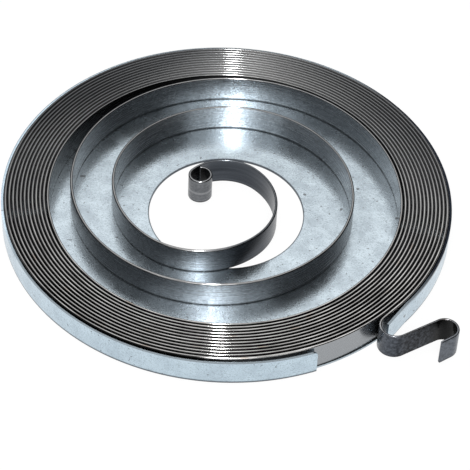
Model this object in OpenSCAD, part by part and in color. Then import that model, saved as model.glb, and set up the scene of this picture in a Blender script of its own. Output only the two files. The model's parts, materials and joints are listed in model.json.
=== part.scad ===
// Recoil starter spring: a flat spring strip wound in an open pressed-steel case.
// The case lies on its floor, +Z up, with the origin at the middle of its underside.

/* [Case] */
// Outside diameter of the case
case_d = 78; // [60:0.5:100]
// Overall height of the rim
case_h = 5; // [3.5:0.1:9]
// Thickness of the case sheet
sheet_t = 0.4; // [0.3:0.05:0.8]
// Inside radius of the bend that turns the floor up into the rim
bend_r = 0.1; // [0.05:0.05:0.6]
// Diameter of the round hole in the floor
hole_d = 27; // [18:0.5:40]

/* [Gap in the rim] */
// Angle of the gap, from the root of the lip to the far end
gap_angle = 28; // [22:0.5:60]
// Distance from the start of the tail back to the root of the lip
lip_lead = 2; // [1:0.1:4]
// Length of the straight lip that ends the rim inside the hook
lip_l = 6; // [4:0.1:7]
// Outward tilt of the lip
lip_tilt = 4.5; // [2:0.5:7]
// Radius of the rim's top corner at the far end of the gap
corner_r = 1; // [0.4:0.1:1.6]
// Width of the ledge that the floor keeps inside the bend along the gap
ledge_w = 0.3; // [0.1:0.05:0.6]

/* [Strip] */
// Width of the spring strip
strip_w = 5; // [3:0.25:9]
// Thickness of the spring strip
strip_t = 0.45; // [0.3:0.05:0.7]
// Gap between neighbouring packed turns
turn_gap = 0.21; // [0.1:0.01:0.4]
// Gap between the outermost turn and the bend of the case
coil_gap = 0.02; // [0.01:0.01:0.3]
// Number of packed turns
packed_turns = 12; // [6:1:16]
// Angle round the case where the tail leaves the coil
tail_angle = 319; // [0:1:359]

/* [Loose turns] */
// Radius of each quarter of the outer loose turn, as a share of the pack's inner radius
outer_turn = [1, 0.955, 0.84, 0.82]; // [0.6:0.005:1]
// Radius of each quarter of the inner loose turn, as a share of the pack's inner radius
inner_turn = [0.71, 0.7, 0.605, 0.455]; // [0.4:0.005:0.75]
// Radius of each quarter of the arm that carries the eye, as a share of the pack's inner radius
eye_arm = [0.37, 0.255]; // [0.2:0.005:0.4]

/* [Eye] */
// Inside diameter of the rolled eye
eye_d = 3.3; // [2:0.1:5]
// Turn of the roll, from the arm to its free end
eye_turn = 312; // [280:1:320]

/* [Hook] */
// Straight length of the tail before the hook
tail_l = 3.5; // [2:0.1:5]
// Inside radius of the bend round the lip
hook_r = 2.2; // [1.8:0.1:3.5]
// Turn of the bend round the lip
hook_turn = 163; // [140:1:180]
// Straight length between the two bends
leg_l = 6.9; // [3:0.1:12]
// Inside radius of the end bend
end_r = 1.85; // [1:0.05:3]
// Turn of the end bend
end_turn = 177; // [120:1:180]
// Straight length of the tip
tip_l = 2.4; // [1:0.1:5]

/* [Hidden] */
$fn = 180;

case_r = case_d / 2;
wall_r = case_r - sheet_t;
bend_x = wall_r - bend_r;
bend_z = sheet_t + bend_r;
ledge_r = bend_x - ledge_w;

pitch = strip_t + turn_gap;
coil_r = bend_x - coil_gap - strip_t / 2;
pack_r = coil_r - packed_turns * pitch;
eye_r = (eye_d + strip_t) / 2;
lip_angle = tail_angle + lip_lead / coil_r * 180 / PI;
cut_margin = 1;
hook_steps = 24;

// Foot, bend and upright wall of the pressed rim
module rim_section() {
    translate([ledge_r, 0])
        square([bend_x - ledge_r, sheet_t]);
    translate([wall_r, bend_z])
        square([sheet_t, case_h - bend_z]);
    translate([bend_x, bend_z])
        intersection() {
            difference() {
                circle(bend_r + sheet_t);
                circle(bend_r);
            }
            translate([0, -bend_z])
                square(bend_z);
        }
}

// What is taken off the rim's top corner at the far end of the gap
module corner_cut() {
    rotate(-gap_angle)
        translate([wall_r - cut_margin, -corner_r, case_h - corner_r])
        rotate([90, 0, 90])
        linear_extrude(sheet_t + 2 * cut_margin)
        difference() {
            square(corner_r + cut_margin);
            circle(corner_r);
        }
}

// Straight end of the rim, tilted outwards into the hook
module lip() {
    run = lip_l * [sin(lip_tilt), -cos(lip_tilt)];
    translate([0, 0, bend_z])
        linear_extrude(case_h - bend_z)
        polygon([[wall_r, 0], [case_r, 0], [case_r, 0] + run, [wall_r, 0] + run]);
}

module spring_case() {
    color("lightsteelblue")
        rotate(lip_angle) {
            difference() {
                cylinder(r = ledge_r, h = sheet_t);
                translate([0, 0, -cut_margin])
                    cylinder(d = hole_d, h = sheet_t + 2 * cut_margin);
            }
            difference() {
                rotate_extrude(angle = 360 - gap_angle)
                    rim_section();
                corner_cut();
            }
            lip();
        }
}

// Quarter turns run on inwards from the pack, each tangent to the one before it;
// their radii are whole hundredths, so that their ends meet exactly
loose_r = [for (share = concat(outer_turn, inner_turn, eye_arm)) round(100 * pack_r * share) / 100];
quarter_r = concat(pack_r, loose_r, eye_r);
quarters = len(loose_r);
function quarter_start(k) = 90 * (k - 1);
function quarter_centre(k) =
    k == 0 ? [0, 0]
    : quarter_centre(k - 1)
        + (quarter_r[k - 1] - quarter_r[k]) * [cos(quarter_start(k)), sin(quarter_start(k))];

module strip_arc(centre, r, start, turn) {
    translate(centre)
        rotate(start)
        rotate_extrude(angle = turn)
        translate([r - strip_t / 2, 0])
        square([strip_t, strip_w]);
}

// A packed turn keeps its radius for three quarters; then a tighter quarter and a short straight
// bring it inwards by one pitch
module packed_turn(r) {
    strip_arc([0, 0], r, 0, 270);
    strip_arc([0, -pitch], r - pitch, 270, 90);
    translate([r - pitch - strip_t / 2, -pitch, 0])
        cube([strip_t, pitch, strip_w]);
}

// The hook bends left round the lip, runs out along the leg and bends right into the tip
function along(a) = [cos(a), sin(a)];
hook_mid_r = hook_r + strip_t / 2;
end_mid_r = end_r + strip_t / 2;
leg_heading = hook_turn - 90;
tip_heading = leg_heading - end_turn;
hook_centre = [coil_r + hook_mid_r, -tail_l];
end_centre = hook_centre + leg_l * along(leg_heading)
    + (hook_mid_r + end_mid_r) * along(leg_heading - 90);

function bend(centre, r, start, turn) =
    [for (i = [0 : hook_steps]) centre + r * along(start + turn * i / hook_steps)];

// One face of the hook, on the side that looks out from the case (1) or towards it (-1)
function hook_face(side) =
    let (
        round_lip = bend(hook_centre, hook_mid_r - side * strip_t / 2, 180, hook_turn),
        round_end = bend(end_centre, end_mid_r + side * strip_t / 2, leg_heading + 90, -end_turn)
    )
    concat(
        [[coil_r + side * strip_t / 2, 0]],
        round_lip,
        round_end,
        [round_end[hook_steps] + tip_l * along(tip_heading)]
    );

function reversed(list) = [for (i = [len(list) - 1 : -1 : 0]) list[i]];

module hook() {
    linear_extrude(strip_w)
        polygon(concat(hook_face(1), reversed(hook_face(-1))));
}

module spring_strip() {
    color("slategray")
        translate([0, 0, sheet_t])
        rotate(tail_angle) {
            hook();
            for (k = [0 : packed_turns - 1])
                packed_turn(coil_r - k * pitch);
            for (k = [1 : quarters])
                strip_arc(quarter_centre(k), quarter_r[k], quarter_start(k), 90);
            strip_arc(quarter_centre(quarters + 1), eye_r, quarter_start(quarters + 1), eye_turn);
        }
}

spring_case();
spring_strip();
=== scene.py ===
import json
import math

import bpy
from mathutils import Matrix, Vector


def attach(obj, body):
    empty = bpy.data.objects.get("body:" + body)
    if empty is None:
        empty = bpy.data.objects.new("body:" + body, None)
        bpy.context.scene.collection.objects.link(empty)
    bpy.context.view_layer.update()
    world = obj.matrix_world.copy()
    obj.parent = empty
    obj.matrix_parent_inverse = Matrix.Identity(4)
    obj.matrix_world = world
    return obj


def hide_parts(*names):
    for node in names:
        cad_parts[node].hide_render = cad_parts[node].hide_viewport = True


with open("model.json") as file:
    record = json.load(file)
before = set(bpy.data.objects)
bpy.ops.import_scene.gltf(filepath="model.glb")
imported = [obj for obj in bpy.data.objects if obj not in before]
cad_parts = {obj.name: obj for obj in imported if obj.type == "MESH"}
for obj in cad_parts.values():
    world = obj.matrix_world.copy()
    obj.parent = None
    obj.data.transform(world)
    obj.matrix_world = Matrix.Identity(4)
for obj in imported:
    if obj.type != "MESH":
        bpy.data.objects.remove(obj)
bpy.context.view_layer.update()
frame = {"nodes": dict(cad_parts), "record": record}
mm = 0.001
mergeGap = 0.002 * mm       # points closer than this become one
print("frame loaded:", sorted(frame["nodes"]))


# edit mode helpers

def clearSelection():
    if bpy.context.object and bpy.context.object.mode == "EDIT":
        bpy.ops.object.mode_set(mode="OBJECT")
    bpy.ops.object.select_all(action="DESELECT")


def addSectionPlane(name, centre, width, height, turned):
    # an upright rectangle, wide along the turned X axis and tall along Z
    clearSelection()
    bpy.ops.mesh.primitive_plane_add(size=1, location=centre, rotation=(math.pi / 2, 0, turned))
    piece = bpy.context.object
    piece.name = name
    piece.data.name = name
    piece.scale = (width, height, 1)
    bpy.ops.object.transform_apply(location=True, rotation=True, scale=True)
    bpy.ops.object.mode_set(mode="EDIT")
    return piece


def pick(piece, kind, wanted):
    # selects the parts of this kind that pass the test, and nothing else
    bpy.ops.mesh.select_mode(type=kind)
    bpy.ops.mesh.select_all(action="DESELECT")
    bpy.ops.object.mode_set(mode="OBJECT")
    mesh = piece.data
    parts = {"FACE": mesh.polygons, "EDGE": mesh.edges, "VERT": mesh.vertices}
    for part in parts[kind]:
        part.select = wanted(part)
    bpy.ops.object.mode_set(mode="EDIT")


def pickFaces(piece, wanted):
    pick(piece, "FACE", lambda face: wanted(face.center, face.normal))


def pickEdges(piece, wanted):
    # an edge is taken where both its ends pass
    pick(piece, "EDGE", lambda edge: all(wanted(piece.data.vertices[i].co) for i in edge.vertices))


def pickPoints(piece, wanted):
    pick(piece, "VERT", lambda point: wanted(point.co))


def pull(way):
    bpy.ops.mesh.extrude_region_move(TRANSFORM_OT_translate={"value": tuple(way)})


def swing(degrees, centre, stepAngle, axis=(0, 0, 1)):
    # spin counts its angle clockwise
    steps = max(1, round(abs(degrees) / stepAngle))
    bpy.ops.mesh.spin(steps=steps, angle=-math.radians(degrees), center=tuple(centre), axis=axis)
    return steps


def mergePoints():
    bpy.ops.mesh.select_all(action="SELECT")
    bpy.ops.mesh.remove_doubles(threshold=mergeGap)


def near(a, b, slack=0.02 * mm):
    return abs(a - b) < slack


def looksAlong(normal, way, share=0.99):
    # a face square to this direction, on either side
    return abs(normal.dot(way)) > share


def flatRadius(point):
    return math.hypot(point.x, point.y)


def along(heading):
    return Vector((math.cos(heading), math.sin(heading), 0))


def addModifier(piece, kind, **settings):
    modifier = piece.modifiers.new(kind.lower(), kind)
    for key, value in settings.items():
        setattr(modifier, key, value)
    bpy.ops.object.modifier_apply(modifier=modifier.name)


def shadeSmooth(piece, degrees):
    bpy.ops.object.shade_smooth_by_angle(angle=math.radians(degrees))
    addModifier(piece, "WEIGHTED_NORMAL", keep_sharp=True)


# pressed case: floor with a round hole, upright rim with a gap, straight lip

caseSizes = {
    "outerRadius": 39 * mm,
    "height": 5 * mm,
    "sheet": 0.4 * mm,
    "bendRadius": 0.1 * mm,
    "bendStep": 15,
    "holeRadius": 13.5 * mm,
    "ledge": 0.3 * mm,          # floor kept inside the bend along the gap
    "gapAngle": 28,
    "lipAngle": 321.995,        # where the straight lip leaves the round rim
    "lipLength": 6 * mm,
    "lipTilt": 4.5,
    "cornerRadius": 0.9 * mm,   # top corner at the far end of the gap
    "cornerSteps": 6,
    "edgeRound": 0.08 * mm,     # at most: short edges keep it smaller
    "edgeSteps": 2,
    "sharpAngle": 50,           # edges sharper than this are rounded
    "smoothAngle": 35,
    "stepAngle": 1.5,
}


def makeCase(sizes):
    wallRadius = sizes["outerRadius"] - sizes["sheet"]
    bendX = wallRadius - sizes["bendRadius"]
    bendZ = sizes["sheet"] + sizes["bendRadius"]
    ledgeRadius = bendX - sizes["ledge"]
    floorWidth = ledgeRadius - sizes["holeRadius"]
    floorMiddle = sizes["holeRadius"] + floorWidth / 2
    start = (floorMiddle, 0, sizes["sheet"] / 2)
    piece = addSectionPlane("springCase", start, floorWidth, sizes["sheet"], 0)

    # section: floor, foot, bend and wall, drawn outwards from the hole
    pickEdges(piece, lambda p: near(p.x, ledgeRadius))
    pull((sizes["ledge"], 0, 0))
    swing(-90, (bendX, 0, bendZ), sizes["bendStep"], axis=(0, 1, 0))
    pull((0, 0, sizes["height"] - bendZ))

    # round the pan as far as the gap, then the floor alone across it
    bpy.ops.mesh.select_mode(type="FACE")
    bpy.ops.mesh.select_all(action="SELECT")
    swing(360 - sizes["gapAngle"], (0, 0, 0), sizes["stepAngle"])
    nearSide = Vector((0, 1, 0))
    farEnd = math.radians(360 - sizes["gapAngle"])
    farSide = Vector((-math.sin(farEnd), math.cos(farEnd), 0))

    def onEnd(middle, normal, side):
        return near(middle.dot(side), 0) and looksAlong(normal, side)

    pickFaces(piece, lambda c, n: onEnd(c, n, farSide) and near(flatRadius(c), floorMiddle))
    swing(sizes["gapAngle"], (0, 0, 0), sizes["stepAngle"])
    pickFaces(piece, lambda c, n: onEnd(c, n, nearSide) and near(c.x, floorMiddle))
    bpy.ops.mesh.delete(type="ONLY_FACE")
    mergePoints()
    bpy.ops.mesh.normals_make_consistent(inside=False)

    # straight lip from the upright part of the near end
    tilt = math.radians(sizes["lipTilt"])
    pickFaces(piece, lambda c, n: onEnd(c, n, nearSide) and c.z > bendZ)
    pull(Vector((math.sin(tilt), -math.cos(tilt), 0)) * sizes["lipLength"])

    # the far end's top corner is rounded off
    farOutward = along(farEnd)

    def onFarTop(p):
        return near(p.dot(farSide), 0) and near(p.z, sizes["height"]) and p.dot(farOutward) > 0

    pickEdges(piece, onFarTop)
    bpy.ops.mesh.bevel(offset=sizes["cornerRadius"], segments=sizes["cornerSteps"], affect="EDGES")
    bpy.ops.object.mode_set(mode="OBJECT")

    piece.rotation_euler.z = math.radians(sizes["lipAngle"])
    bpy.ops.object.transform_apply(location=True, rotation=True, scale=True)
    addModifier(piece, "BEVEL", width=sizes["edgeRound"], segments=sizes["edgeSteps"],
                limit_method="ANGLE", angle_limit=math.radians(sizes["sharpAngle"]))
    bpy.ops.object.mode_set(mode="EDIT")
    mergePoints()               # rounded edges that meet at the foot of the lip
    bpy.ops.object.mode_set(mode="OBJECT")
    shadeSmooth(piece, sizes["smoothAngle"])
    return piece


case = makeCase(caseSizes)
print("case made:", len(case.data.polygons), "faces")


# spring strip: one flat strip, hook, packed turns, loose turns and rolled eye

stripSizes = {
    "thickness": 0.45 * mm,
    "width": 5 * mm,
    "rollOver": 0.24 * mm,      # top corner on the outer side, rounded by the slitting
    "rollSteps": 5,
    "edgeRound": 0.13 * mm,     # the other three corners
    "edgeSteps": 3,
    "standsAt": 0.4 * mm,       # on the case floor
    "tailAngle": 319,           # where the tail leaves the coil
    "coilRadius": 38.255 * mm,
    "pitch": 0.66 * mm,
    "packedTurns": 12,
    # a quarter turn each, in mm
    "looseRadii": (30.33, 28.97, 25.48, 24.87, 21.54, 21.23, 18.35, 13.8, 11.22, 7.74),
    "eyeRadius": 1.875 * mm,
    "eyeTurn": 312,
    "tailLength": 3.5 * mm,
    "hookRadius": 2.425 * mm,   # to the middle of the strip
    "hookTurn": 163,
    "legLength": 6.9 * mm,
    "endRadius": 2.075 * mm,
    "endTurn": 177,
    "tipLength": 2.4 * mm,
    "bendStep": 6,
    "coilStep": 1.5,
    "coilFrom": 6 * mm,         # bends wider than this take the coil's finer step
    "smoothAngle": 40,
}


def stripMoves(sizes):
    # lines (length, None) and bends (radius, turn) from the hook's tip in to the eye, left turns positive
    moves = [
        (sizes["tipLength"], None),
        (sizes["endRadius"], sizes["endTurn"]),
        (sizes["legLength"], None),
        (sizes["hookRadius"], -sizes["hookTurn"]),
        (sizes["tailLength"], None),
    ]
    hookMoves = len(moves)
    for turn in range(sizes["packedTurns"]):
        # each packed turn steps inwards by one pitch in its last quarter
        radius = sizes["coilRadius"] - turn * sizes["pitch"]
        moves += [(radius, 270), (radius - sizes["pitch"], 90), (sizes["pitch"], None)]
    for radius in sizes["looseRadii"]:
        moves.append((radius * mm, 90))
    moves.append((sizes["eyeRadius"], sizes["eyeTurn"]))
    return moves, hookMoves


def stepOn(point, heading, move):
    # where a move ends, which way it then heads, and the middle of its bend
    size, turn = move
    if turn is None:
        return point + along(heading) * size, heading, None
    side = math.copysign(math.pi / 2, turn)
    centre = point + along(heading + side) * size
    newHeading = heading + math.radians(turn)
    return centre - along(newHeading + side) * size, newHeading, centre


def ringPoints(sizes):
    # points round the strip's section
    return sizes["rollSteps"] + 1 + 3 * (sizes["edgeSteps"] + 1)


def addSection(sizes, point, heading):
    # the strip's section, square to its heading, with its four corners rounded
    turned = heading - math.pi / 2
    piece = addSectionPlane("stretch", point, sizes["thickness"], sizes["width"], turned)
    outward = along(turned)

    def isOuterTop(p):
        return p.z > point.z and (p - point).dot(outward) > 0

    def isSquareCorner(p):
        atSide = near(abs((p - point).dot(outward)), sizes["thickness"] / 2)
        return atSide and near(abs(p.z - point.z), sizes["width"] / 2)

    pickPoints(piece, isOuterTop)
    bpy.ops.mesh.bevel(offset=sizes["rollOver"], segments=sizes["rollSteps"], affect="VERTICES")
    pickPoints(piece, isSquareCorner)
    bpy.ops.mesh.bevel(offset=sizes["edgeRound"], segments=sizes["edgeSteps"], affect="VERTICES")
    return piece


def makeStretch(sizes, point, heading, move, runStart):
    # one line or bend of the strip, open at both ends
    size, turn = move
    piece = addSection(sizes, point, heading)
    bpy.ops.mesh.select_mode(type="FACE")
    bpy.ops.mesh.select_all(action="SELECT")
    newPoint, newHeading, centre = stepOn(point, heading, move)
    if turn is None:
        steps = 1
        length = size
        pull(newPoint - point)
    else:
        stepAngle = sizes["coilStep"] if size > sizes["coilFrom"] else sizes["bendStep"]
        steps = swing(turn, centre, stepAngle)
        length = size * math.radians(abs(turn))
    bpy.ops.mesh.select_face_by_sides(number=ringPoints(sizes))
    bpy.ops.mesh.delete(type="ONLY_FACE")
    bpy.ops.object.mode_set(mode="OBJECT")
    run = piece.data.attributes.new("run", "FLOAT", "POINT")
    for i, value in enumerate(run.data):
        value.value = runStart + length * (i // ringPoints(sizes)) / steps
    return piece, newPoint, newHeading, runStart + length


def joinStretches(stretches, sizes):
    clearSelection()
    for piece in stretches:
        piece.select_set(True)
    strip = stretches[0]
    bpy.context.view_layer.objects.active = strip
    bpy.ops.object.join()
    strip.name = "springStrip"
    strip.data.name = "springStrip"
    bpy.ops.object.mode_set(mode="EDIT")
    mergePoints()
    bpy.ops.mesh.fill_holes(sides=ringPoints(sizes))
    bpy.ops.mesh.select_all(action="SELECT")
    bpy.ops.mesh.normals_make_consistent(inside=False)
    bpy.ops.object.mode_set(mode="OBJECT")
    shadeSmooth(strip, sizes["smoothAngle"])
    return strip


def makeStrip(sizes):
    moves, hookMoves = stripMoves(sizes)
    # back from the start of the coil to the tip
    tail = math.radians(sizes["tailAngle"])
    middle = Vector((0, 0, sizes["standsAt"] + sizes["width"] / 2))
    point = middle + along(tail) * sizes["coilRadius"]
    heading = tail - math.pi / 2
    for size, turn in reversed(moves[:hookMoves]):
        point, heading = stepOn(point, heading, (size, None if turn is None else -turn))[:2]
    heading += math.pi

    run = 0
    marks = [run]
    stretches = []
    for move in moves:
        piece, point, heading, run = makeStretch(sizes, point, heading, move, run)
        marks.append(run)
        stretches.append(piece)
    strip = joinStretches(stretches, sizes)
    print("strip made:", len(strip.data.polygons), "faces,", round(run / mm, 1), "mm long")
    turnMoves = 3               # two bends and a line in each packed turn
    return strip, {
        "coilStart": marks[hookMoves],
        "secondTurn": marks[hookMoves + turnMoves],
        "packEnd": marks[hookMoves + turnMoves * sizes["packedTurns"]],
        "innerEnd": run,
    }


def layAlong(piece):
    # U runs along the strip and V across it, both in metres
    mesh = piece.data
    run = mesh.attributes["run"].data
    lay = mesh.uv_layers.new(name="alongStrip")
    for loop, spot in zip(mesh.loops, lay.data):
        spot.uv = (run[loop.vertex_index].value, mesh.vertices[loop.vertex_index].co.z)
    mesh.attributes.remove(mesh.attributes["run"])


strip, stripMarks = makeStrip(stripSizes)
layAlong(strip)


# node helpers

def newFinish(name):
    finish = bpy.data.materials.new(name)
    finish.use_nodes = True
    return finish, finish.node_tree, finish.node_tree.nodes["Principled BSDF"]


def addNode(tree, kind, inputs=None, **settings):
    node = tree.nodes.new(kind)
    for key, value in settings.items():
        setattr(node, key, value)
    for key, value in (inputs or {}).items():
        if isinstance(value, bpy.types.NodeSocket):
            tree.links.new(value, node.inputs[key])
        else:
            node.inputs[key].default_value = value
    return node


def splitAxes(tree, vector):
    return addNode(tree, "ShaderNodeSeparateXYZ", {"Vector": vector}).outputs


def addRamp(tree, factor, ends, tints):
    ramp = addNode(tree, "ShaderNodeValToRGB", {"Fac": factor})
    for element, position, tint in zip(ramp.color_ramp.elements, ends, tints):
        element.position = position
        element.color = (*tint, 1)
    return ramp.outputs["Color"]


def addNoise(tree, place, scale, detail, roughness):
    inputs = {"Vector": place, "Scale": scale, "Detail": detail, "Roughness": roughness}
    return addNode(tree, "ShaderNodeTexNoise", inputs).outputs["Fac"]


def addStreaks(tree, strand, stretch, detail, roughness, shift=(0, 0, 0)):
    # noise drawn out along the strip
    inputs = {"Vector": strand, "Scale": stretch, "Location": shift}
    return addNoise(tree, addNode(tree, "ShaderNodeMapping", inputs).outputs["Vector"], 1, detail, roughness)


def blendTint(tree, factor, first, second, way="MIX"):
    node = addNode(tree, "ShaderNodeMix", data_type="RGBA", blend_type=way)
    for socket, value in ((node.inputs[0], factor), (node.inputs[6], first), (node.inputs[7], second)):
        if isinstance(value, bpy.types.NodeSocket):
            tree.links.new(value, socket)
        else:
            socket.default_value = value
    return node.outputs[2]


def blendValue(tree, factor, first, second):
    return addNode(tree, "ShaderNodeMix", {0: factor, 2: first, 3: second}).outputs[0]


def addMath(tree, operation, *values):
    return addNode(tree, "ShaderNodeMath", dict(enumerate(values)), operation=operation).outputs[0]


def times(tree, first, *others):
    for other in others:
        first = addMath(tree, "MULTIPLY", first, other)
    return first


def dotWith(tree, first, second):
    node = addNode(tree, "ShaderNodeVectorMath", {0: first, 1: second}, operation="DOT_PRODUCT")
    return node.outputs["Value"]


def mapRange(tree, value, low, high, toLow, toHigh):
    inputs = {"Value": value, "From Min": low, "From Max": high, "To Min": toLow, "To Max": toHigh}
    return addNode(tree, "ShaderNodeMapRange", inputs).outputs["Result"]


def fade(tree, value, none, full, share=1):
    # rises from 0, where the value is at none, to the share, where it is at full
    return mapRange(tree, value, none, full, 0, share)


def between(tree, value, rise, fall):
    return times(tree, fade(tree, value, *rise), fade(tree, value, *fall))


def towards(tree, place, degrees):
    # how far a point lies out to one side of the middle
    return dotWith(tree, place, tuple(along(math.radians(degrees))))


def darkSides(tree, place, sides):
    dark = 0
    for degrees, ends in sides:
        dark = addMath(tree, "MAXIMUM", dark, fade(tree, towards(tree, place, degrees), *ends))
    return dark


def addBump(tree, height, strength, distance, under=None):
    inputs = {"Height": height, "Strength": strength, "Distance": distance}
    if under:
        inputs["Normal"] = under
    return addNode(tree, "ShaderNodeBump", inputs).outputs["Normal"]


# zinc plate of the case: a noise is (scale, detail, roughness), and a fade is (none, full, share)

zincLook = {
    "cloud": (320, 5, 0.6),
    "cloudEnds": (0.32, 0.62),
    "cloudTints": ((0.46, 0.56, 0.635), (0.54, 0.655, 0.735)),
    "cloudGloss": (0.3, 0.7),
    "roughness": (0.31, 0.19),              # of the dull and the pale clouds
    "spotTint": (0.12, 0.13, 0.14, 1),
    "speck": (620, 1, 0.4),
    "speckFade": (0.755, 0.79, 0.8),
    "pit": (1700, 0, 0.4),
    "pitFade": (0.79, 0.82, 0.7),
    "grain": (3600, 2, 0.6),
    "grainFade": (0.5, 0.75, 0.38),
    "grainBump": (0.8, 0.02 * mm),          # strength and depth
    "wave": (70, 2, 0.55),
    "waveBump": (0.2, 0.3 * mm),
    "floorTint": (0.86, 0.815, 0.785, 1),
    "onFloor": (38.5 * mm, 38.3 * mm),
    "browShade": (0.15, 0.17, 0.185, 1),         # painted shade: the rim's top edge is darker along the front
    "browShadeHeight": (4.86 * mm, 4.93 * mm, 0.9),
    "browShadeFront": (-8 * mm, -20 * mm),
    "lowShade": (0.05, 0.056, 0.066, 1),         # painted shade: the hole's cut edge and the foot of the wall are darker
    "lowShadeHole": (13.75 * mm, 13.6 * mm, 0.9),
    "lowShadeFoot": (0.8 * mm, 0.5 * mm, 0.9),
    "onWall": (38.6 * mm, 38.8 * mm),
    "aboveBase": (0, 0.06 * mm),            # the painted shade stops above the underside
    "rimShade": (0.012, 0.015, 0.022, 1),      # painted shade: the rim's edge is darker along one stretch on the right
    "rimShadeTop": (4.4 * mm, 4.65 * mm),
    "rimShadeAngle": 10,
    "rimShadeSide": (24 * mm, 32 * mm),
}


def makeZinc(look):
    finish, tree, shader = newFinish("zincPlate")
    place = addNode(tree, "ShaderNodeTexCoord").outputs["Object"]
    axes = splitAxes(tree, place)
    height = axes["Z"]
    flat = addNode(tree, "ShaderNodeVectorMath", {0: place, 1: (1, 1, 0)}, operation="MULTIPLY")
    length = addNode(tree, "ShaderNodeVectorMath", {0: flat.outputs["Vector"]}, operation="LENGTH")
    radius = length.outputs["Value"]

    cloud = addNoise(tree, place, *look["cloud"])
    speck = addNoise(tree, place, *look["speck"])
    pit = addNoise(tree, place, *look["pit"])
    grain = addNoise(tree, place, *look["grain"])
    tint = addRamp(tree, cloud, look["cloudEnds"], look["cloudTints"])
    for noise, ends in ((speck, look["speckFade"]), (pit, look["pitFade"]), (grain, look["grainFade"])):
        tint = blendTint(tree, fade(tree, noise, *ends), tint, look["spotTint"])
    tint = blendTint(tree, fade(tree, radius, *look["onFloor"]), tint, look["floorTint"], "MULTIPLY")

    # painted shade: the rim's top edge is darker along the front
    browShade = times(tree, fade(tree, height, *look["browShadeHeight"]), fade(tree, axes["Y"], *look["browShadeFront"]))
    # painted shade: the hole's cut edge and the foot of the wall, as shade and contact shadow
    hole = fade(tree, radius, *look["lowShadeHole"])
    foot = times(tree, fade(tree, height, *look["lowShadeFoot"]), fade(tree, radius, *look["onWall"]))
    lowShade = times(tree, addMath(tree, "MAXIMUM", hole, foot), fade(tree, height, *look["aboveBase"]))
    # painted shade: the rim's edge along one stretch on the right
    rimShadeSide = fade(tree, towards(tree, place, look["rimShadeAngle"]), *look["rimShadeSide"])
    rimShade = times(tree, fade(tree, height, *look["rimShadeTop"]), rimShadeSide)
    for share, name in ((browShade, "browShade"), (lowShade, "lowShade"), (rimShade, "rimShade")):
        tint = blendTint(tree, share, tint, look[name])

    tree.links.new(tint, shader.inputs["Base Color"])
    rough = mapRange(tree, cloud, *look["cloudGloss"], *look["roughness"])
    tree.links.new(rough, shader.inputs["Roughness"])
    shader.inputs["Metallic"].default_value = 1
    wave = addBump(tree, addNoise(tree, place, *look["wave"]), *look["waveBump"])
    bump = addBump(tree, grain, *look["grainBump"], wave)
    tree.links.new(bump, shader.inputs["Normal"])
    return finish


# spring steel of the strip: streaks are (stretch, detail, roughness), and four plain numbers in a row
# map one range to another

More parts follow.
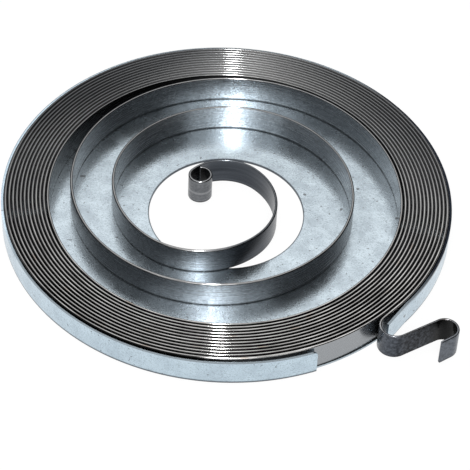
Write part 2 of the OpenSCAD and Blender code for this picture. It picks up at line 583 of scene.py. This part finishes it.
steelLook = {
    "streak": ((30, 5000, 1), 3, 0.6),
    "streakEnds": (0.3, 0.7),
    "faceTints": ((0.19, 0.198, 0.21), (0.3, 0.306, 0.315)),
    "litHollowTints": ((0.27, 0.283, 0.298), (0.4, 0.41, 0.42)),   # painted light: the hollow side is lighter
    "hollowFacing": (-7 * mm, -13 * mm),    # radius times the share of the normal that looks outwards
    # rubbed patches along the strip, and the painted reflection ring round the eye
    "rubAndSheen": (0.3, 0.306, 0.315, 1),
    "patch": ((45, 700, 1), 3, 0.6),
    "patchFade": (0.35, 0.7, 0.35),
    "mottle": (1900, 3, 0.7),
    "speckle": (0.03, 0.033, 0.038, 1),
    "speckleFade": (0.58, 0.36, 0.4),
    "clean": (0.31, 0.325, 0.34, 1),        # the face of the first turn that shows in the gap of the rim
    "cleanStart": (36 * mm, 30 * mm),
    "cleanEnd": (0, 2 * mm),
    # darker sides: the angle of each, and its fade outwards
    "shade": (0.055, 0.057, 0.06, 1),
    "shadeSides": (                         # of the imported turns' edges
        (128, (24 * mm, 34 * mm, 0.85)),
        (42, (26 * mm, 36 * mm, 0.7)),
        (184, (22 * mm, 36 * mm, 0.45)),
        (228, (26 * mm, 37 * mm, 0.25)),
    ),
    "dimSides": (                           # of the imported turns' hollow sides
        (150, (10 * mm, 24 * mm, 0.88)),
        (32, (15 * mm, 28 * mm, 0.72)),
    ),
    "dimEnd": (5 * mm, 0),                  # length past the pack
    "duskSides": (                          # of all the outer sides
        (210, (8 * mm, 24 * mm, 0.45)),
    ),
    # both ends are softened by heat before they are bent
    "bluedTints": ((0.035, 0.04, 0.048), (0.085, 0.095, 0.11)),
    "bluedEnds": (0.3, 0.75),
    "bluedHook": (25 * mm, 19 * mm),        # fades out along the tail
    "bluedArm": (54 * mm, 44 * mm),         # fades in, counted back from the inner end
    "clearEye": (14 * mm, 9 * mm, 1, 0.45),     # and partly out again before the eye
    "hookTints": ((0.004, 0.005, 0.007), (0.06, 0.067, 0.08)),
    "hookEnds": (0.42, 0.64),
    "hookWorn": (0.13, 0.145, 0.17, 1),     # the tip and the bend round the lip are rubbed brighter
    "hookTip": (6 * mm, 3 * mm),
    "hookBend": ((15 * mm, 18 * mm, 0.7), (23 * mm, 21 * mm)),
    "wornMottle": (0.3, 0.65, 0.4, 1),
    "onEye": (10 * mm, 8 * mm),
    "eyeSheenBand": ((2.3 * mm, 2.4 * mm, 0.6), (2.8 * mm, 2.7 * mm)),   # painted reflection: a lighter ring round the eye
    # top edges, worn bright and rusty in places, and darker towards the back as painted shade
    "edge": (0.22 * mm, 0.06 * mm, 0.9),    # depth below the top
    "edgeBlued": (0, 1, 1, 0.2),            # less of it on the blued ends
    "edgeWear": ((140, 0, 1), 2, 0.6),
    "edgeEnds": (0.33, 0.67),
    "edgeTints": ((0.22, 0.213, 0.205), (0.55, 0.54, 0.522)),
    "rust": (0.3, 0.19, 0.11, 1),
    "rustSpots": ((170, 0, 1), 1, 0.5, (7, 3, 0)),
    "rustFade": (0.64, 0.74, 0.7),
    # painted shade: the edges are darker towards the back
    "backEdgeShade": (0.21, 0.21, 0.207, 1),
    "backShadeShare": 0.9,
    "looseEdge": (0.2, 0.2, 0.2, 1),
    "looseFade": (0, 40 * mm, 0.85),
    # painted shade: darkening on the outer side of the imported turns, in the gaps between them, along the
    # foot, and inside the eye and the hook
    "creaseShade": (0.014, 0.014, 0.014, 1),
    "creaseShadeFacing": (9 * mm, 24 * mm),
    "creaseShadeStart": (0, 10 * mm),
    "creaseShadeGap": (30 * mm, 36 * mm),          # none on the clean face
    "creaseShadeOn": (5 * mm, 0),
    "creaseShadeEnd": (40 * mm, 0),
    "creaseShadeFront": (-4 * mm, -26 * mm),       # strongest at the front
    "creaseShadeFoot": (0.8 * mm, 0.6 * mm, 0.7),
    "bendInside": (0, -1.2 * mm, 0.95),     # the facing about the eye's or the end bend's own middle
    "onHook": (11 * mm, 9 * mm),
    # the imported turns' corners are matte towards the back
    "matte": (0.21, 0.21, 0.21, 1),
    "matteBack": (-24 * mm, 12 * mm),
    "matteSlope": (0.86, 0.6),
    "matteDepth": (0.9 * mm, 0.35 * mm),
    "matteStart": (0, 5 * mm),
    "matteEnd": (-190 * mm, -200 * mm),
    "roughness": (0.2, 0.3),
    "edgeRoughness": 0.07,
    "matteRoughness": 0.75,
    "anisotropy": 0.8,
    "grainTurn": 0.25,                      # spreads the gloss across the strip
    "streakBump": (0.08, 0.01 * mm),        # strength and depth
    "bumpEdge": (0.5, 0),                   # none on the worn edges
    "hookBump": (0.5, 0.02 * mm),
}


def readStrip(tree, look, sizes, marks):
    # what the finish goes by: place, facing, height, lengths from marks along the strip, and noises
    place = addNode(tree, "ShaderNodeTexCoord").outputs["Object"]
    axes = splitAxes(tree, place)
    normal = addNode(tree, "ShaderNodeNewGeometry").outputs["Normal"]
    strand = addNode(tree, "ShaderNodeUVMap", uv_map="alongStrip").outputs["UV"]
    run = splitAxes(tree, strand)["X"]
    return {
        "place": place,
        "depth": axes["Y"],
        "height": axes["Z"],
        "belowTop": addMath(tree, "SUBTRACT", sizes["standsAt"] + sizes["width"], axes["Z"]),
        "normal": normal,
        "facing": dotWith(tree, normal, place),
        "slope": splitAxes(tree, normal)["Z"],
        "strand": strand,
        "run": run,
        "pastTail": addMath(tree, "SUBTRACT", run, marks["coilStart"]),
        "toSecond": addMath(tree, "SUBTRACT", marks["secondTurn"], run),
        "pastPack": addMath(tree, "SUBTRACT", run, marks["packEnd"]),
        "toEnd": addMath(tree, "SUBTRACT", marks["innerEnd"], run),
        "streak": addStreaks(tree, strand, *look["streak"]),
        "patch": addStreaks(tree, strand, *look["patch"]),
        "mottle": addNoise(tree, place, *look["mottle"]),
    }


def tintFaces(tree, look, at):
    outer = addRamp(tree, at["streak"], look["streakEnds"], look["faceTints"])
    outer = blendTint(tree, fade(tree, at["patch"], *look["patchFade"]), outer, look["rubAndSheen"])
    outer = blendTint(tree, darkSides(tree, at["place"], look["duskSides"]), outer, look["shade"])
    # painted light: the hollow side takes lighter tints
    hollow = addRamp(tree, at["streak"], look["streakEnds"], look["litHollowTints"])
    inPack = fade(tree, at["pastPack"], *look["dimEnd"])
    dim = times(tree, darkSides(tree, at["place"], look["dimSides"]), inPack)
    hollow = blendTint(tree, dim, hollow, look["shade"])
    tint = blendTint(tree, fade(tree, at["facing"], *look["hollowFacing"]), outer, hollow)
    return blendTint(tree, fade(tree, at["mottle"], *look["speckleFade"]), tint, look["speckle"])


def tintEnds(tree, look, at, tint):
    armTint = addRamp(tree, at["patch"], look["bluedEnds"], look["bluedTints"])
    tint = blendTint(tree, at["arm"], tint, armTint)
    hookTint = addRamp(tree, at["mottle"], look["hookEnds"], look["hookTints"])
    worn = fade(tree, at["run"], *look["hookTip"])
    worn = addMath(tree, "ADD", worn, between(tree, at["run"], *look["hookBend"]))
    worn = times(tree, worn, mapRange(tree, at["mottle"], *look["wornMottle"]))
    hookTint = blendTint(tree, worn, hookTint, look["hookWorn"])
    tint = blendTint(tree, at["hook"], tint, hookTint)
    # painted reflection: a lighter ring round the eye
    sheenBand = times(tree, at["onEye"], between(tree, at["height"], *look["eyeSheenBand"]))
    return blendTint(tree, sheenBand, tint, look["rubAndSheen"])


def tintEdges(tree, look, at):
    wear = addStreaks(tree, at["strand"], *look["edgeWear"])
    tint = addRamp(tree, wear, look["edgeEnds"], look["edgeTints"])
    rust = addStreaks(tree, at["strand"], *look["rustSpots"])
    tint = blendTint(tree, fade(tree, rust, *look["rustFade"]), tint, look["rust"])
    # painted shade: edges darker towards the back
    back = fade(tree, at["depth"], *look["matteBack"], look["backShadeShare"])
    tint = blendTint(tree, back, tint, look["backEdgeShade"])
    tint = blendTint(tree, at["shade"], tint, look["shade"])
    return blendTint(tree, fade(tree, at["pastPack"], *look["looseFade"]), tint, look["looseEdge"])


# painted shade: dark in the gaps between the packed turns, along the foot, and inside the eye and the hook
def creaseShadeShare(tree, look, at):
    firstTurn = times(tree, fade(tree, at["pastTail"], *look["creaseShadeStart"]),
                      fade(tree, at["toSecond"], *look["creaseShadeGap"]))
    otherTurns = times(tree, fade(tree, at["toSecond"], *look["creaseShadeOn"]),
                       fade(tree, at["pastPack"], *look["creaseShadeEnd"]))
    creaseShade = times(tree, fade(tree, at["facing"], *look["creaseShadeFacing"]),
                 addMath(tree, "ADD", firstTurn, otherTurns),
                 fade(tree, at["depth"], *look["creaseShadeFront"]))
    creaseShade = addMath(tree, "MAXIMUM", creaseShade, fade(tree, at["height"], *look["creaseShadeFoot"]))
    middles = {mount["name"]: mount["pos_m"] for mount in frame["record"]["mounts"]}
    onHook = fade(tree, at["run"], *look["onHook"])
    for mountName, stretch in (("inner_eye", at["onEye"]), ("tail_hook", onHook)):
        inputs = {0: at["place"], 1: middles[mountName]}
        fromMiddle = addNode(tree, "ShaderNodeVectorMath", inputs, operation="SUBTRACT").outputs["Vector"]
        inside = fade(tree, dotWith(tree, at["normal"], fromMiddle), *look["bendInside"])
        creaseShade = addMath(tree, "MAXIMUM", creaseShade, times(tree, inside, stretch))
    return creaseShade


def matteCorners(tree, look, at):
    return times(tree, fade(tree, at["slope"], *look["matteSlope"]),
                 fade(tree, at["depth"], *look["matteBack"]),
                 fade(tree, at["pastTail"], *look["matteStart"]),
                 fade(tree, at["pastPack"], *look["matteEnd"]),
                 fade(tree, at["belowTop"], *look["matteDepth"]))


def makeSteel(look, sizes, marks):
    finish, tree, shader = newFinish("springSteel")
    at = readStrip(tree, look, sizes, marks)
    at["hook"] = fade(tree, at["run"], *look["bluedHook"])
    at["arm"] = times(tree, fade(tree, at["toEnd"], *look["bluedArm"]),
                      mapRange(tree, at["toEnd"], *look["clearEye"]))
    at["onEye"] = fade(tree, at["toEnd"], *look["onEye"])
    at["shade"] = darkSides(tree, at["place"], look["shadeSides"])
    blued = addMath(tree, "ADD", at["arm"], at["hook"])
    edge = times(tree, fade(tree, at["belowTop"], *look["edge"]),
                 mapRange(tree, blued, *look["edgeBlued"]))
    matte = matteCorners(tree, look, at)

    tint = tintEnds(tree, look, at, tintFaces(tree, look, at))
    clean = between(tree, at["toSecond"], look["cleanStart"], look["cleanEnd"])
    tint = blendTint(tree, clean, tint, look["clean"])
    tint = blendTint(tree, edge, tint, tintEdges(tree, look, at))
    # painted shade over the gaps, the foot and the inside of the eye and the hook
    tint = blendTint(tree, creaseShadeShare(tree, look, at), tint, look["creaseShade"])
    matteTint = blendTint(tree, at["shade"], look["matte"], look["shade"])
    tint = blendTint(tree, matte, tint, matteTint)
    tree.links.new(tint, shader.inputs["Base Color"])

    rough = mapRange(tree, at["streak"], *look["streakEnds"], *look["roughness"])
    rough = blendValue(tree, edge, rough, look["edgeRoughness"])
    rough = blendValue(tree, matte, rough, look["matteRoughness"])
    tree.links.new(rough, shader.inputs["Roughness"])
    shader.inputs["Metallic"].default_value = 1
    shader.inputs["Anisotropic"].default_value = look["anisotropy"]
    shader.inputs["Anisotropic Rotation"].default_value = look["grainTurn"]
    tangent = addNode(tree, "ShaderNodeTangent", direction_type="UV_MAP", uv_map="alongStrip")
    tree.links.new(tangent.outputs["Tangent"], shader.inputs["Tangent"])

    streakStrength, streakDepth = look["streakBump"]
    hookStrength, hookDepth = look["hookBump"]
    offEdge = fade(tree, edge, *look["bumpEdge"], streakStrength)
    bump = addBump(tree, at["streak"], offEdge, streakDepth)
    onHook = fade(tree, at["hook"], 0, 1, hookStrength)
    bump = addBump(tree, at["mottle"], onHook, hookDepth, bump)
    tree.links.new(bump, shader.inputs["Normal"])
    return finish


case.data.materials.append(makeZinc(zincLook))
strip.data.materials.append(makeSteel(steelLook, stripSizes, stripMarks))
print("finishes set")

for piece, node, slotName in ((case, "spring_case", "zinc_sheet"), (strip, "spring_strip", "spring_steel")):
    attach(piece, "root")
    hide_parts(node)


# studio: pale floor, dim room, softboxes overhead and in front, camera

studio = {
    "floorSize": 4,
    "floorDrop": 0.02 * mm,
    "floorTint": (0.9, 0.9, 0.9, 1),
    "floorRoughness": 0.9,
    "floorGlow": 0.9,           # share of plain white that the camera and the gloss see
    "skyEnds": (0.0, 0.9),
    "skyTints": ((0.05, 0.05, 0.052), (0.5, 0.508, 0.525)),     # horizon and zenith
    "roomSides": (-0.3, 0.7, 1, 0.15),      # the room is darker to the right
}


def makeFloor(look):
    clearSelection()
    bpy.ops.mesh.primitive_plane_add(size=look["floorSize"], location=(0, 0, -look["floorDrop"]))
    floor = bpy.context.object
    floor.name = "paleFloor"
    finish, tree, shader = newFinish("palePaper")
    shader.inputs["Base Color"].default_value = look["floorTint"]
    shader.inputs["Roughness"].default_value = look["floorRoughness"]
    path = addNode(tree, "ShaderNodeLightPath").outputs
    seen = addMath(tree, "MAXIMUM", path["Is Camera Ray"], path["Is Glossy Ray"])
    seen = addMath(tree, "MAXIMUM", seen, path["Is Transmission Ray"])
    share = times(tree, seen, look["floorGlow"])
    glow = addNode(tree, "ShaderNodeEmission", {"Color": (1, 1, 1, 1), "Strength": 1})
    mixed = addNode(tree, "ShaderNodeMixShader", {0: share, 1: shader.outputs[0], 2: glow.outputs[0]})
    tree.links.new(mixed.outputs[0], tree.nodes["Material Output"].inputs["Surface"])
    floor.data.materials.append(finish)


def makeAir(look):
    air = bpy.data.worlds.new("studioAir")
    bpy.context.scene.world = air
    air.use_nodes = True
    tree = air.node_tree
    sky = tree.nodes["Background"].inputs
    axes = splitAxes(tree, addNode(tree, "ShaderNodeTexCoord").outputs["Generated"])
    tree.links.new(addRamp(tree, axes["Z"], look["skyEnds"], look["skyTints"]), sky["Color"])
    tree.links.new(mapRange(tree, axes["X"], *look["roomSides"]), sky["Strength"])


# places and sizes in metres
lamps = {
    "backSoftbox": dict(place=(-0.03, 0.47, 0.6), aim=(-0.03, 0.47, 0), size=(1.0, 0.5), watts=2.1),
    "topSoftbox": dict(place=(-0.03, 0.085, 0.6), aim=(-0.03, 0.085, 0), size=(0.66, 0.27), watts=0.92),
    "tubeLight": dict(place=(0.001, -0.1, 0.59), aim=(0.001, -0.1, 0), size=(0.026, 0.42), watts=2.4),
    "frontLight": dict(place=(0, -0.47, 0.52), aim=(0, 0, 0), size=(0.11, 0.3), watts=2.2),
    "frontGlow": dict(place=(0, -0.485, 0.525), aim=(0, 0, 0), size=(0.34, 0.33), watts=1.5),
    "frontFill": dict(place=(0, -0.5, 0.53), aim=(0, 0, 0), size=(0.95, 0.36), watts=2.1),
}


def addSoftbox(name, place, aim, size, watts):
    clearSelection()
    way = (Vector(place) - Vector(aim)).to_track_quat("Z", "Y").to_euler()
    bpy.ops.object.light_add(type="AREA", location=place, rotation=way)
    lamp = bpy.context.object
    lamp.name = name
    lamp.data.shape = "RECTANGLE"
    lamp.data.size, lamp.data.size_y = size
    lamp.data.energy = watts
    return lamp


def lightOnly(lamp, piece):
    # the lamp reaches this piece alone
    group = bpy.data.collections.new(lamp.name + "Pieces")
    group.objects.link(piece)
    lamp.light_linking.receiver_collection = group


cameraView = {
    "distance": 357.3 * mm,
    "elevation": 44.85,
    "roll": 2.60,
    "lens": 156.29,
    "sensor": 36,
    "shift": (0.0190, -0.0452),
}


def makeCamera(view):
    rise = math.radians(view["elevation"])
    roll = math.radians(view["roll"])
    back = Vector((0, -math.cos(rise), math.sin(rise)))
    level = Vector((1, 0, 0))
    upright = Vector((0, math.sin(rise), math.cos(rise)))
    right = math.cos(roll) * level + math.sin(roll) * upright
    up = math.cos(roll) * upright - math.sin(roll) * level
    way = Matrix((right, up, back)).transposed().to_euler()
    clearSelection()
    bpy.ops.object.camera_add(location=back * view["distance"], rotation=way)
    camera = bpy.context.object
    camera.data.sensor_width = view["sensor"]
    camera.data.lens = view["lens"]
    camera.data.shift_x, camera.data.shift_y = view["shift"]
    bpy.context.scene.camera = camera


makeFloor(studio)
makeAir(studio)
studioLamps = {name: addSoftbox(name, **settings) for name, settings in lamps.items()}
lightOnly(studioLamps["tubeLight"], strip)
makeCamera(cameraView)
bpy.context.scene.view_settings.view_transform = "Standard"
print("studio set")
